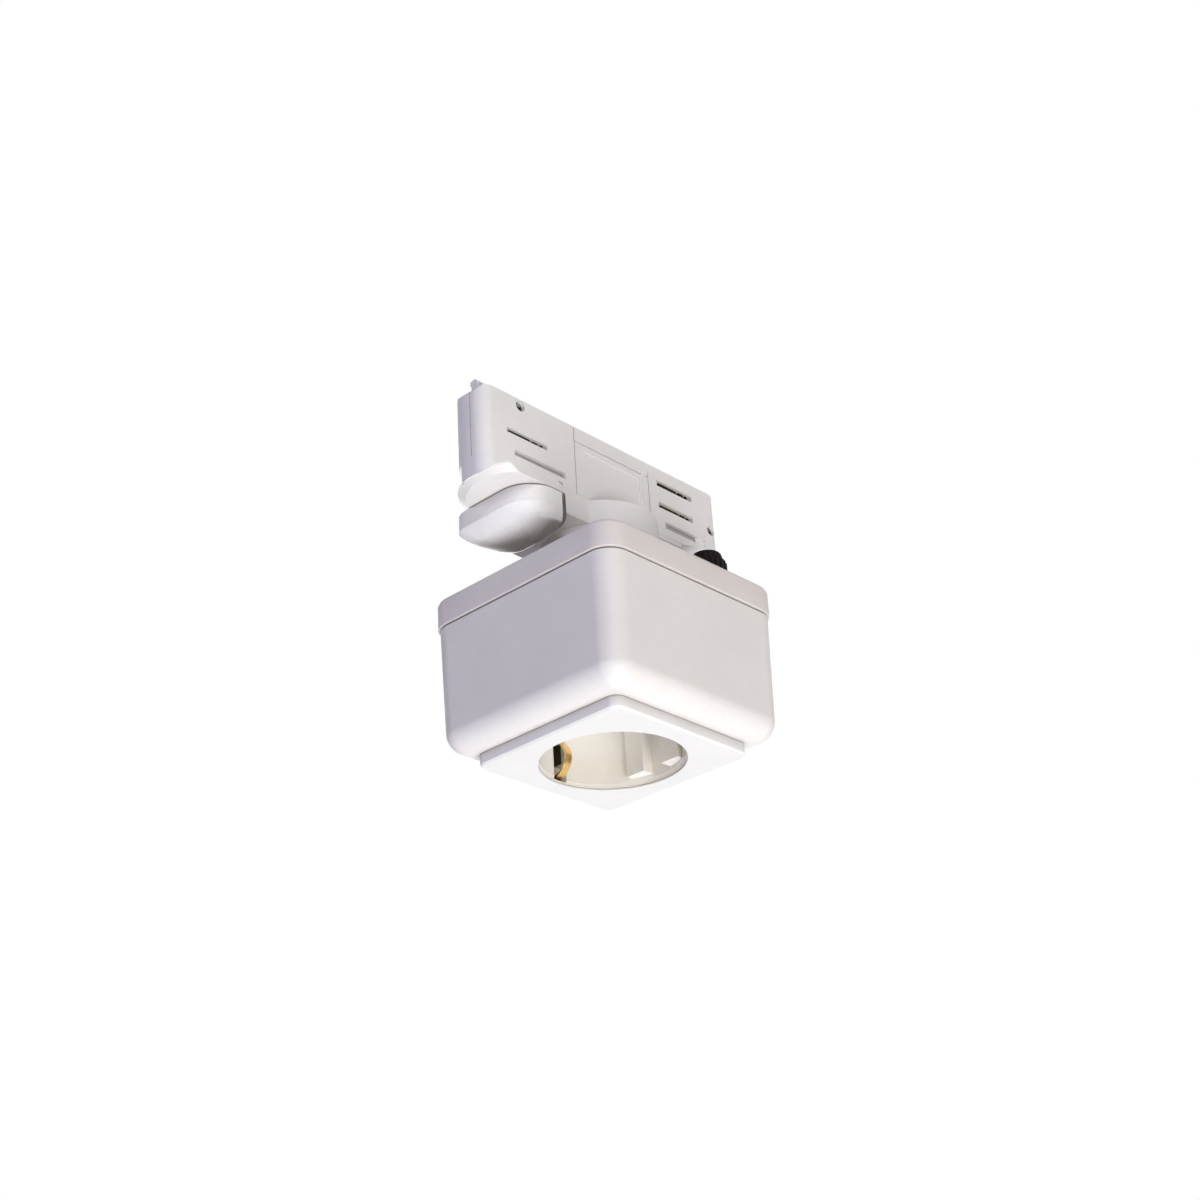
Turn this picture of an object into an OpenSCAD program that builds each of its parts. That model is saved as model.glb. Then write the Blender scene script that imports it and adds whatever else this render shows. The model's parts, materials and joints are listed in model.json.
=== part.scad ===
// Track socket outlet: a square socket box with a round side-earth recess
// hangs under a track adapter with a turning lever and sliding contacts.
// Millimetres. +Z is up, +X runs along the track, and the origin is the
// centre of the recess mouth in the plane of the face plate.

/* [Box] */
// Width of the square box where it meets the cover
box_w = 66; // [64:0.5:72]
// How much narrower the box is at its foot than at the seam
box_draft = 1.2; // [0.4:0.1:2.4]
// Radius of the upright corners of the box
box_corner_r = 6.5; // [4:0.5:9]
// Radius of the box's lower edges
box_foot_r = 6.5; // [4:0.5:7.5]
// Height of the seam between box and cover
seam_z = 39.9; // [38:0.1:46]
// Wall of the box and of the cover
box_wall = 2; // [1.4:0.1:3]
// Height of the cover above the seam
cover_h = 7.7; // [6:0.1:12]
// How far the cover stands out past the box on each side
cover_lip = 0.6; // [0.2:0.1:1.5]
// Chamfer round the cover's top edge
cover_edge = 0.5; // [0.3:0.1:1]
// Height of the shadow groove under the cover
seam_gap = 0.5; // [0.3:0.1:1]

/* [Face plate] */
// Width of the square face plate
plate_w = 50.5; // [49:0.5:54]
// How far the face plate stands below the box
plate_t = 3.4; // [2.4:0.1:5]
// Corner radius of the face plate
plate_corner_r = 3; // [1.5:0.5:5]
// Chamfer round the face plate's front edge
plate_edge = 0.6; // [0.3:0.1:1]

/* [Socket recess] */
// Diameter of the recess
recess_d = 39; // [38.5:0.1:40]
// Depth of the recess
recess_depth = 17.5; // [17:0.1:18.5]
// Wall of the socket cup
cup_wall = 1.4; // [1:0.1:2]
// Distance between the two pin holes
pin_pitch = 19; // [18.8:0.1:19.2]
// Diameter of the plug's pins
pin_d = 4.8; // [4.6:0.1:5]
// Length of the plug's pins
pin_l = 19; // [18.5:0.1:19.5]
// Distance from the axis to the flat of the guide ribs
rib_flat_x = 15.4; // [14.5:0.1:16.5]
// Width of the groove between a pair of guide ribs
rib_groove_w = 6.4; // [4:0.1:7]
// Outer width of a pair of guide ribs
rib_pair_w = 18.4; // [16:0.1:20]
// Height at which the guide ribs start
rib_start_z = 2.8; // [2.2:0.1:5]

/* [Earth clips] */
// Width of an earth clip
clip_w = 2.2; // [1.6:0.1:3.5]
// Thickness of the earth bracket's strip
strip_t = 0.8; // [0.6:0.1:1]
// Radius of the bow of a clip, at the middle of the strip
clip_bow_r = 5.1; // [4.6:0.1:5.4]
// Height of the middle of the bow
clip_z = 7.2; // [6.8:0.1:8]
// Width of the bracket's bridge over the contact block
bridge_w = 6; // [4:0.5:8]

/* [Contact block] */
// Length of the contact block along the pins
block_l = 38; // [34:0.5:40]
// Width of the contact block
block_w = 24; // [20:0.5:28]
// Height of the contact block
block_h = 11; // [10:0.5:14]

/* [Fuse] */
// Distance from the box's right side to the fuse holder's axis
fuse_inset_x = 12.2; // [11:0.1:13]
// Distance from the box's near side to the fuse holder's axis
fuse_inset_y = 12.7; // [11:0.1:13]
// Diameter of the fuse cap's grip
cap_grip_d = 8.7; // [7:0.1:9.4]
// Diameter of the fuse cap's lower ring
cap_ring_d = 11; // [10.2:0.1:12]
// Height of the fuse cap above the cover
cap_h = 12.2; // [9:0.1:14]
// Height of the cap's lower ring
cap_ring_h = 9.8; // [6:0.1:11]
// Number of ribs round the fuse cap
cap_ribs = 20; // [12:1:28]
// Length of the fuse link
fuse_l = 20; // [18:0.5:22]
// Diameter of the fuse link's end caps
fuse_d = 5.2; // [5:0.1:5.4]

/* [Adapter] */
// Left end of the adapter
adapter_x0 = -51.8; // [-56:0.1:-50]
// Right end of the adapter
adapter_x1 = 40.5; // [40:0.1:46]
// Near face of the adapter
adapter_y0 = -9.3; // [-10:0.1:-9]
// Far face of the adapter
adapter_y1 = 6; // [5.8:0.1:7]
// Height of the adapter's underside
adapter_z0 = 69.7; // [69:0.1:72]
// Height of the adapter's body
adapter_h = 21.3; // [20.6:0.1:24]
// Wall of the adapter's shells
shell_wall = 1.5; // [1.2:0.1:1.8]
// Plane where the two shells meet
parting_y = -4.2; // [-5:0.1:-3]
// Radius of the near left corner
near_corner_r = 4; // [3:0.5:6]
// Radius of the far left corner
far_corner_r = 9.5; // [6:0.5:10]
// How far the left end reaches down beside the lever
skirt_h = 5.5; // [3:0.1:5.6]

/* [Neck] */
// Diameter of the round boss between box and adapter
boss_d = 32.9; // [31:0.1:34]
// Wall of the boss
boss_wall = 2; // [1.4:0.1:3]
// Outer diameter of the threaded tube through the neck
tube_d = 10; // [9:0.5:10.4]
// Bore of the threaded tube
tube_bore = 7.4; // [7:0.1:8]

/* [Lever] */
// Turning axis of the lever along X
lever_x = -30.5; // [-31:0.1:-30]
// Turning axis of the lever along Y
lever_y = 0.8; // [0.6:0.1:1]
// Width of the lever
lever_w = 13.4; // [12:0.1:13.6]
// Near end of the lever, measured from its axis
lever_near = 10.2; // [9.4:0.1:10.4]
// Far end of the lever, measured from its axis
lever_far = 19.5; // [17:0.1:20]
// Height of the lever's upright band
lever_band = 4; // [3:0.1:6]
// Depth of the lever's domed belly under the band
lever_belly = 8.6; // [6:0.1:10]
// Diameter of the lever's turning disc
turn_disc_d = 31.3; // [29:0.1:33]
// Thickness of the turning disc's rim
turn_disc_t = 1.5; // [1.2:0.1:2]
// Diameter of the lever's spindle
spindle_d = 4.4; // [4:0.1:5]
// How far the contacts slide out when the lever is turned
contact_travel = 3; // [2:0.1:3.2]

/* [Hidden] */

// Faces on true round shapes, and on the smooth moulded shells
round_fn = 64;
shell_fn = 40;
// Small overlap that joins solids and opens cuts
eps = 0.05;
// Gap between still pieces, and between sliding ones
seat_gap = 0.1;
slide_gap = 0.3;
run_gap = 0.06;

cover_z = seam_z + cover_h;
cover_w = box_w + 2 * cover_lip;
floor_top = plate_t + box_wall;
recess_r = recess_d / 2;
// The cup's mouth has the recess's full size, and beyond mouth_z it is a little narrower
cup_draft = 0.2;
cup_r = recess_r - cup_draft;
cup_out_r = recess_r + cup_wall;
lip_t = 0.5;
mouth_z = 1.6;
cup_floor_t = 2;
cup_back_z = recess_depth + cup_floor_t;
cup_flange_r = cup_out_r + 3;
cup_flange_t = 1.5;
pin_hole_r = pin_d / 2 + 0.35;
sleeve_bore_r = pin_d / 2 + 0.03;
sleeve_r = 3.3;
pin_x = pin_pitch / 2;

block_z0 = cup_back_z + seat_gap;
block_z1 = block_z0 + block_h;
bridge_z = block_z1 + seat_gap;
leg_y = cup_out_r + 0.2;
// Terminals lie behind the sleeves, on the side away from the fuse
terminal_y = 7;
tab_t = 1;
screw_head_r = 2.6;
// Wells over the sleeves that the pins' ends reach into
well_r = sleeve_r + 1.1;
well_z1 = recess_depth + pin_l + 0.5;

boss_top = adapter_z0 - 0.4;
boss_z0 = cover_z + seat_gap;
boss_r = boss_d / 2;
tube_z0 = cover_z - 9;
tube_z1 = adapter_z0 + shell_wall - 0.2;

adapter_z1 = adapter_z0 + adapter_h;
// Cut-away under the adapter's right end
cut_start_x = 25;
cut_end_rise = 3.4;
inner_y0 = adapter_y0 + shell_wall;
inner_y1 = adapter_y1 - shell_wall;
base_block_z = adapter_z0 - 7.4;
base_block_x0 = -22.7;
sweep_gap = 0.35;
lever_top = adapter_z0 - turn_disc_t - sweep_gap + 0.15;
lever_sweep_r = norm([lever_w / 2 + 0.6, lever_near]) + sweep_gap;
lever_mid_x = lever_x + 0.6;

// Slots in the near shell: x0, x1, z0, z1
slot_left = [-43.3, -28.5, 79.0, 80.4];
slot_latch_left = [-40.7, -21.9, 72.7, 74.5];
slot_right_upper = [15.3, 30.0, 85.3, 87.1];
slot_right_lower = [15.5, 30.0, 78.4, 80.1];
slot_latch_right = [17.8, 34.7, 72.3, 74.4];
// The right latch window is open up to here, and shallow beyond
latch_open_x = 31.2;
slot_play = 0.2;
// Shell screws: x, z
screw_left = [-38.0, 89.0];
screw_right = [37.6, 78.8];
screw_hole_r = 1.6;
screw_boss_r = 2.2;
screw_seat_y = adapter_y0 + 2.6;

// Carriage that carries the sliding contacts
web_y0 = -4.6;
web_t = 1.2;
web_y1 = web_y0 + web_t;
web_z0 = slot_latch_left[2] + slot_play;
web_z1 = 85.9;
yoke_z0 = 82;
yoke_z1 = 84.4;
blade_tip_y = adapter_y0 + 0.7;
// The crank pin's place gives the travel over a quarter turn
crank_arm = contact_travel / 2;
crank_r = 1;
spindle_top = yoke_z0 - slide_gap;

// Plain square with true round corners, centred
module rsq(w, d, r) {
    square([w - 2 * r, d], center = true);
    square([w, d - 2 * r], center = true);
    for (sx = [-1, 1], sy = [-1, 1])
        translate([sx * (w / 2 - r), sy * (d / 2 - r)]) circle(r, $fn = round_fn);
}

// What a round corner of radius r takes off a square one at the origin
module corner_cut(r) {
    difference() {
        translate([-1, -1]) square(r + 1);
        translate([r, r]) circle(r, $fn = round_fn);
    }
}

// Rectangle with a radius for each corner: left near, right near, right far, left far
module outline4(x0, x1, y0, y1, r) {
    difference() {
        translate([x0, y0]) square([x1 - x0, y1 - y0]);
        translate([x0, y0]) corner_cut(r[0]);
        translate([x1, y0]) mirror([1, 0]) corner_cut(r[1]);
        translate([x1, y1]) rotate(180) corner_cut(r[2]);
        translate([x0, y1]) mirror([0, 1]) corner_cut(r[3]);
    }
}

module rod(r, z0, z1) {
    translate([0, 0, z0]) cylinder(r = r, h = z1 - z0, $fn = round_fn);
}

// Box body as a drafted block with round lower edges, shrunk by inset
module box_form(inset, z_low, z_high, foot_r) {
    corner_r = max(box_corner_r - inset, 0.8);
    top_c = box_w / 2 - inset - corner_r;
    foot_c = box_w / 2 - box_draft / 2 - inset - foot_r;
    hull() {
        for (sx = [-1, 1], sy = [-1, 1]) {
            translate([sx * foot_c, sy * foot_c, z_low + foot_r]) sphere(foot_r, $fn = shell_fn);
            translate([sx * top_c, sy * top_c, z_high - 1]) cylinder(r = corner_r, h = 1, $fn = shell_fn);
        }
    }
}

// Four screw posts in the corners of the box, with their screws
post_r = 3.2;
post_xy = box_w / 2 - box_wall - post_r - 0.4;
post_screw_r = 1.2;
post_screw_l = 15;
post_head_r = 2.8;
post_head_h = 1.5;
module at_posts() {
    for (sx = [-1, 1], sy = [-1, 1]) translate([sx * post_xy, sy * post_xy, 0]) children();
}

module housing() {
    color("whitesmoke") difference() {
        union() {
            difference() {
                box_form(0, plate_t, seam_z - seam_gap, box_foot_r);
                box_form(box_wall, floor_top, seam_z + 1, box_foot_r - box_wall);
            }
            // Rim that enters the cover
            difference() {
                translate([0, 0, seam_z - seam_gap - eps])
                    linear_extrude(seam_gap + 1.6)
                        rsq(box_w - 1.2, box_w - 1.2, box_corner_r - 0.6);
                translate([0, 0, seam_z - seam_gap - 1])
                    linear_extrude(seam_gap + 4)
                        rsq(box_w - 2 * box_wall, box_w - 2 * box_wall, box_corner_r - box_wall);
            }
        }
        rod(cup_out_r + 0.15, plate_t - 1, floor_top + 1);
    }
}

// Posts that take the cover's screws, moulded into the corners of the box
module screw_posts() {
    color("whitesmoke") difference() {
        intersection() {
            at_posts() rod(post_r, floor_top + 0.5, seam_z + 1);
            box_form(box_wall + 0.05, floor_top + 0.05, seam_z + 3, box_foot_r - box_wall);
        }
        at_posts() rod(post_screw_r + run_gap, cover_z - post_screw_l - 5, seam_z + 3);
    }
}

module cover_plate() {
    top_w = cover_w - 2 * cover_edge;
    color("gainsboro") difference() {
        hull() {
            translate([0, 0, seam_z]) linear_extrude(cover_h - 2 * cover_edge)
                rsq(cover_w, cover_w, box_corner_r + cover_lip);
            translate([0, 0, cover_z - 0.3]) linear_extrude(0.3)
                rsq(top_w, top_w, box_corner_r + cover_lip - cover_edge);
        }
        difference() {
            translate([0, 0, seam_z - 1]) linear_extrude(cover_h - box_wall + 1)
                rsq(cover_w - 2 * box_wall, cover_w - 2 * box_wall, box_corner_r + cover_lip - box_wall);
            at_posts() rod(post_r, seam_z + 1.75, cover_z);
        }
        // Rebate that takes the box's rim
        translate([0, 0, seam_z - 1]) linear_extrude(2.7)
            rsq(box_w - 1, box_w - 1, box_corner_r - 0.5);
        rod(tube_d / 2 + seat_gap, cover_z - 4, cover_z + 1);
        translate([fuse_x, fuse_y, 0]) rod(fuse_thread_r + seat_gap, cover_z - 4, cover_z + 1);
        at_posts() {
            rod(post_screw_r + 0.5, seam_z - 1, cover_z + 1);
            rod(post_head_r + 0.2, cover_z - post_head_h - 0.3, cover_z + 1);
        }
    }
}

module cross_screw(head_r, head_h, shank_r, z_head, length) {
    difference() {
        union() {
            rod(head_r, z_head - head_h, z_head);
            rod(shank_r, z_head - head_h - length, z_head - head_h + eps);
        }
        translate([0, 0, z_head]) cube([head_r * 1.3, 0.7, 1.2], center = true);
        translate([0, 0, z_head]) cube([0.7, head_r * 1.3, 1.2], center = true);
    }
}

module cover_screws() {
    color("silver") at_posts()
        cross_screw(post_head_r, post_head_h, post_screw_r, cover_z - 0.25, post_screw_l);
}

module face_plate() {
    front_w = plate_w - 2 * plate_edge;
    color("white") difference() {
        hull() {
            linear_extrude(eps) rsq(front_w, front_w, plate_corner_r - plate_edge);
            translate([0, 0, plate_edge]) linear_extrude(plate_t - plate_edge - seat_gap / 2)
                rsq(plate_w, plate_w, plate_corner_r);
        }
        rod(recess_r, -1, lip_t + eps);
        rod(cup_out_r + seat_gap, lip_t, plate_t + 1);
        // Hollow back, with a wall left round the edge and round the cup
        difference() {
            translate([0, 0, 2]) linear_extrude(plate_t)
                rsq(plate_w - 2 * 1.6, plate_w - 2 * 1.6, plate_corner_r - 1);
            rod(cup_out_r + 1.4, 1, plate_t + 1);
        }
    }
}

// Pair of guide ribs on the wall at +X
module guide_ribs() {
    rib_w = (rib_pair_w - rib_groove_w) / 2;
    for (s = [-1, 1])
        translate([rib_flat_x, s * (rib_groove_w + rib_w) / 2 - rib_w / 2, rib_start_z])
            cube([recess_r - rib_flat_x + 0.6, rib_w, recess_depth - rib_start_z]);
}

clip_slot_w = clip_w + 2.4;
clip_slot_z0 = clip_z - clip_bow_r - 1;
clip_slot_z1 = clip_z + clip_bow_r + 1;

module socket_cup() {
    color("ivory") difference() {
        rod(cup_out_r, lip_t + 0.1, cup_back_z);
        difference() {
            union() {
                rod(recess_r, -1, mouth_z);
                rod(cup_r, mouth_z - eps, cup_back_z + 1);
            }
            for (a = [0, 180]) rotate([0, 0, a]) guide_ribs();
        }
        // Slots that the earth clips spring through
        for (s = [-1, 1]) translate([-clip_slot_w / 2, s * recess_r - 4, clip_slot_z0])
            cube([clip_slot_w, 8, clip_slot_z1 - clip_slot_z0]);
    }
}

// Flange behind the box's floor that keeps the cup in place
module cup_flange() {
    color("ivory") difference() {
        rod(cup_flange_r, floor_top + seat_gap, floor_top + seat_gap + cup_flange_t);
        rod(cup_out_r + 0.02, floor_top - 1, floor_top + 4);
        for (s = [-1, 1]) translate([-clip_slot_w / 2, s * recess_r - 4, floor_top - 1])
            cube([clip_slot_w, 8, 5]);
    }
}

module cup_floor() {
    color("ivory") difference() {
        rod(cup_r - 0.02, recess_depth + 0.02, cup_back_z);
        for (s = [-1, 1]) translate([s * pin_x, 0, 0]) rod(pin_hole_r, recess_depth - 1, cup_back_z + 1);
        rod(1.7, recess_depth - 1, cup_back_z + 1);
        rod(3.3, recess_depth - 1, recess_depth + 1.2);
    }
}

module centre_screw() {
    color("silver") mirror([0, 0, 1]) translate([0, 0, -2 * recess_depth])
        cross_screw(3.1, 1.1, 1.45, recess_depth - 0.05, block_h + 3);
}

module contact_block() {
    color("dimgray") difference() {
        union() {
            translate([0, 0, block_z0]) linear_extrude(block_h) rsq(block_l, block_w, 3);
            rod(cup_out_r - 2, block_z0, block_z0 + 2);
            for (s = [-1, 1]) translate([s * pin_x, 0, 0]) rod(well_r, block_z1 - eps, well_z1 + 1);
        }
        for (s = [-1, 1]) {
            translate([s * pin_x, 0, 0]) rod(sleeve_r + seat_gap, block_z0 - 1, well_z1);
            // Pocket for the terminal tab and its screw
            translate([s * pin_x - 3.6, 0, block_z1 - 5]) cube([7.2, terminal_y + 3.2, 5 + eps]);
            translate([s * pin_x, terminal_y, 0]) rod(1.1, block_z0 + 2, block_z1);
        }
        rod(1.6, block_z0 - 1, block_z1 + 1);
        // Wire entries in the far side
        for (s = [-1, 1]) translate([s * pin_x, block_w / 2, block_z1 - 3.2])
            rotate([90, 0, 0]) cylinder(r = 1.5, h = 6, center = true, $fn = round_fn);
    }
}

// Slit sleeve that grips a plug pin, with its terminal tab
module contact_sleeve(s) {
    translate([s * pin_x, 0, 0]) difference() {
        union() {
            rod(sleeve_r, block_z0 + 0.2, block_z1 - 2);
            translate([-3, 0, block_z1 - 5 + seat_gap]) cube([6, terminal_y + 2.6, tab_t]);
        }
        rod(sleeve_bore_r, block_z0 - 1, block_z1);
        translate([0, 0, block_z0]) cube([0.6, 2 * sleeve_r + 1, 8], center = true);
        translate([0, terminal_y, 0]) rod(1.3, block_z1 - 6, block_z1);
    }
}

module contact_sleeve_left() {
    color("goldenrod") contact_sleeve(-1);
}

module contact_sleeve_right() {
    color("goldenrod") contact_sleeve(1);
}

// One clip of the bracket, on the wall at +Y, with the leg that carries it
module clip_leg() {
    translate([-clip_w / 2, 0, 0]) rotate([90, 0, 90]) linear_extrude(clip_w) {
        difference() {
            translate([leg_y, clip_z]) circle(clip_bow_r + strip_t / 2, $fn = round_fn);
            translate([leg_y, clip_z]) circle(clip_bow_r - strip_t / 2, $fn = round_fn);
            translate([leg_y + strip_t, clip_z - 10]) square([20, 20]);
            // The lower end stops inside the cup's wall
            translate([leg_y - 0.4, clip_z - 10]) square([20, 10]);
        }
        translate([leg_y, clip_z + clip_bow_r - strip_t / 2]) square([strip_t, 3]);
    }
    leg_z0 = clip_z + clip_bow_r + 1;
    translate([-bridge_w / 2, leg_y, leg_z0]) cube([bridge_w, strip_t, bridge_z + strip_t - leg_z0]);
}

module earth_bracket() {
    color("gold") difference() {
        union() {
            for (a = [0, 180]) rotate([0, 0, a]) clip_leg();
            translate([-bridge_w / 2, -leg_y - strip_t, bridge_z])
                cube([bridge_w, 2 * (leg_y + strip_t), strip_t]);
            // Earth terminal beside the middle of the bridge
            translate([-bridge_w / 2, terminal_y + 3, bridge_z]) cube([bridge_w, 6, 2]);
        }
        rod(1.55, bridge_z - 1, bridge_z + 2);
        translate([0, terminal_y + 6, 0]) rod(1.3, bridge_z - 1, bridge_z + 3);
    }
}

module terminal_screws() {
    color("silver") {
        for (s = [-1, 1]) translate([s * pin_x, terminal_y, 0])
            cross_screw(screw_head_r, 1.8, 1.05, block_z1 - 5 + seat_gap + tab_t + 1.8, 3.4);
        translate([0, terminal_y + 6, 0]) cross_screw(screw_head_r, 1.8, 1.05, bridge_z + 2 + 1.8, 1.9);
    }
}

fuse_x = box_w / 2 - fuse_inset_x;
fuse_y = fuse_inset_y - box_w / 2;
fuse_thread_r = 4.9;
fuse_bore_r = 3.5;
holder_len = fuse_l + 8;
holder_flange_t = 0.8;
fuse_z0 = cover_z - holder_len + 4;
fuse_nut_r = 6.6;
fuse_nut_h = 2.5;

module fuse_holder() {
    color("darkslategray") translate([fuse_x, fuse_y, 0]) difference() {
        union() {
            rod(fuse_thread_r, cover_z - holder_len, cover_z + holder_flange_t);
            rod(cap_ring_d / 2, cover_z + 0.02, cover_z + holder_flange_t);
            translate([-1.5, -0.4, cover_z - holder_len - 5]) cube([3, 0.8, 5 + eps]);
        }
        rod(fuse_bore_r, fuse_z0 - 1, cover_z + 3);
    }
}

module fuse_nut() {
    color("black") translate([fuse_x, fuse_y, 0]) difference() {
        translate([0, 0, cover_z - box_wall - seat_gap - fuse_nut_h])
            cylinder(r = fuse_nut_r, h = fuse_nut_h, $fn = 6);
        rod(fuse_thread_r + run_gap, cover_z - 8, cover_z);
    }
}

cap_z0 = cover_z + holder_flange_t + 0.1;
cap_z1 = cover_z + cap_h;

module fuse_cap() {
    color("black") translate([fuse_x, fuse_y, 0]) {
        difference() {
            union() {
                rod(cap_ring_d / 2 - 0.4, cap_z0, cover_z + cap_ring_h);
                rod(cap_grip_d / 2 - 0.35, cap_z0 + 1, cap_z1);
                for (i = [0 : cap_ribs - 1]) rotate([0, 0, i * 360 / cap_ribs]) {
                    translate([cap_ring_d / 2 - 0.55, 0, 0]) rod(0.5, cap_z0, cover_z + cap_ring_h - 0.5);
                    translate([cap_grip_d / 2 - 0.45, 0, 0]) rod(0.42, cap_z0 + 1, cap_z1 - 0.5);
                }
                // Plug end that screws into the holder and grips the fuse
                rod(fuse_bore_r - slide_gap, fuse_z0 + fuse_l - 3, cap_z0 + eps);
            }
            rod(fuse_d / 2 + run_gap, fuse_z0 - 1, fuse_z0 + fuse_l + 0.3);
            // Driver slot in the top
            translate([0, 0, cap_z1]) cube([5, 1, 1.6], center = true);
        }
    }
}

module fuse_link() {
    color("lightcyan") translate([fuse_x, fuse_y, 0]) {
        rod(fuse_d / 2, fuse_z0, fuse_z0 + 5);
        rod(fuse_d / 2 - 0.3, fuse_z0 + 5 - eps, fuse_z0 + fuse_l - 5 + eps);
        rod(fuse_d / 2, fuse_z0 + fuse_l - 5, fuse_z0 + fuse_l);
    }
}

module neck_tube() {
    color("silver") difference() {
        rod(tube_d / 2, tube_z0, tube_z1);
        rod(tube_bore / 2, tube_z0 - 1, tube_z1 + 1);
    }
}

neck_nut_r = 8.1;
neck_nut_h = 4;
washer_r = 9.5;
washer_t = 1.1;
washer_z = cover_z - box_wall - 0.05 - washer_t;

module neck_nut() {
    color("silver") difference() {
        translate([0, 0, washer_z - 0.05 - neck_nut_h])
            cylinder(r = neck_nut_r, h = neck_nut_h, $fn = 6);
        rod(tube_d / 2 + run_gap, tube_z0 - 1, cover_z);
    }
}

module neck_washer() {
    color("gray") difference() {
        rod(washer_r, washer_z, washer_z + washer_t);
        rod(tube_d / 2 + seat_gap, tube_z0 - 1, cover_z);
    }
}

// Side profile of the adapter's body, x and z
module side_profile(inset) {
    x0 = adapter_x0 + inset;
    x1 = adapter_x1 - inset;
    z0 = adapter_z0 + inset;
    z1 = adapter_z1 - inset;
    r = 3 - inset;
    polygon([[x0, z0], [cut_start_x, z0], [x1, z0 + cut_end_rise], [x1, z1 - r], [x1 - r, z1],
        [x0 + 1.2, z1], [x0, z1 - 1.2]]);
    translate([x1 - r, z1 - r]) circle(r, $fn = round_fn);
}

module body_form(inset) {
    intersection() {
        translate([0, adapter_y1 + 5, 0]) rotate([90, 0, 0])
            linear_extrude(adapter_y1 - adapter_y0 + 10) side_profile(inset);
        translate([0, 0, adapter_z0 - 1]) linear_extrude(adapter_h + 2)
            outline4(adapter_x0 + inset, adapter_x1 - inset, adapter_y0 + inset, adapter_y1 - inset,
                [near_corner_r - inset, 2.4 - inset, 2.4 - inset, far_corner_r - inset]);
    }
}

// Skirt under the left end, outside the lever's sweep, that runs out along the near wall
skirt_len = 8;
skirt_rib_t = 1.3;
module end_skirt() {
    x0 = adapter_x0;
    z0 = adapter_z0;
    difference() {
        intersection() {
            rotate([90, 0, 0]) linear_extrude(-adapter_y0)
                polygon([[x0, z0 + 0.5], [x0 + skirt_len, z0 + 0.5], [x0 + skirt_len, z0 - 0.35],
                    [x0 + skirt_len - 1.4, z0 - 0.9], [x0 + skirt_len - 3.6, z0 - 0.36 * skirt_h],
                    [x0 + skirt_len - 5.4, z0 - 0.63 * skirt_h], [x0 + 1, z0 - 0.9 * skirt_h],
                    [x0 + 0.4, z0 - skirt_h], [x0, z0 - skirt_h]]);
            translate([0, 0, z0 - 10]) linear_extrude(20)
                outline4(x0, adapter_x1, adapter_y0, adapter_y1, [near_corner_r, 2.4, 2.4, far_corner_r]);
        }
        intersection() {
            translate([lever_x, lever_y, 0]) rod(lever_far + 0.3, z0 - 10, z0);
            translate([x0, adapter_y0 + skirt_rib_t, z0 - 10]) cube([30, 30, 20]);
        }
    }
}

module slot_cut(s) {
    translate([s[0], adapter_y0 - 1, s[2]]) cube([s[1] - s[0], shell_wall + 2, s[3] - s[2]]);
}

module at_shell_screws() {
    for (p = [screw_left, screw_right]) translate([p[0], 0, p[1]]) rotate([90, 0, 0]) children();
}

// Passages through the shells' floor for the neck tube and the spindle
module shell_floor_holes() {
    top = adapter_z0 + shell_wall + 1;
    rod(tube_d / 2 + seat_gap, adapter_z0 - 1, top);
    translate([lever_x, lever_y, 0]) rod(spindle_d / 2 + seat_gap, adapter_z0 - 1, top);
}

spring_z = 75.5;
label_x0 = -18;
label_x1 = 11.5;
label_top = 86.3;
groove = 0.3;

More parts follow.
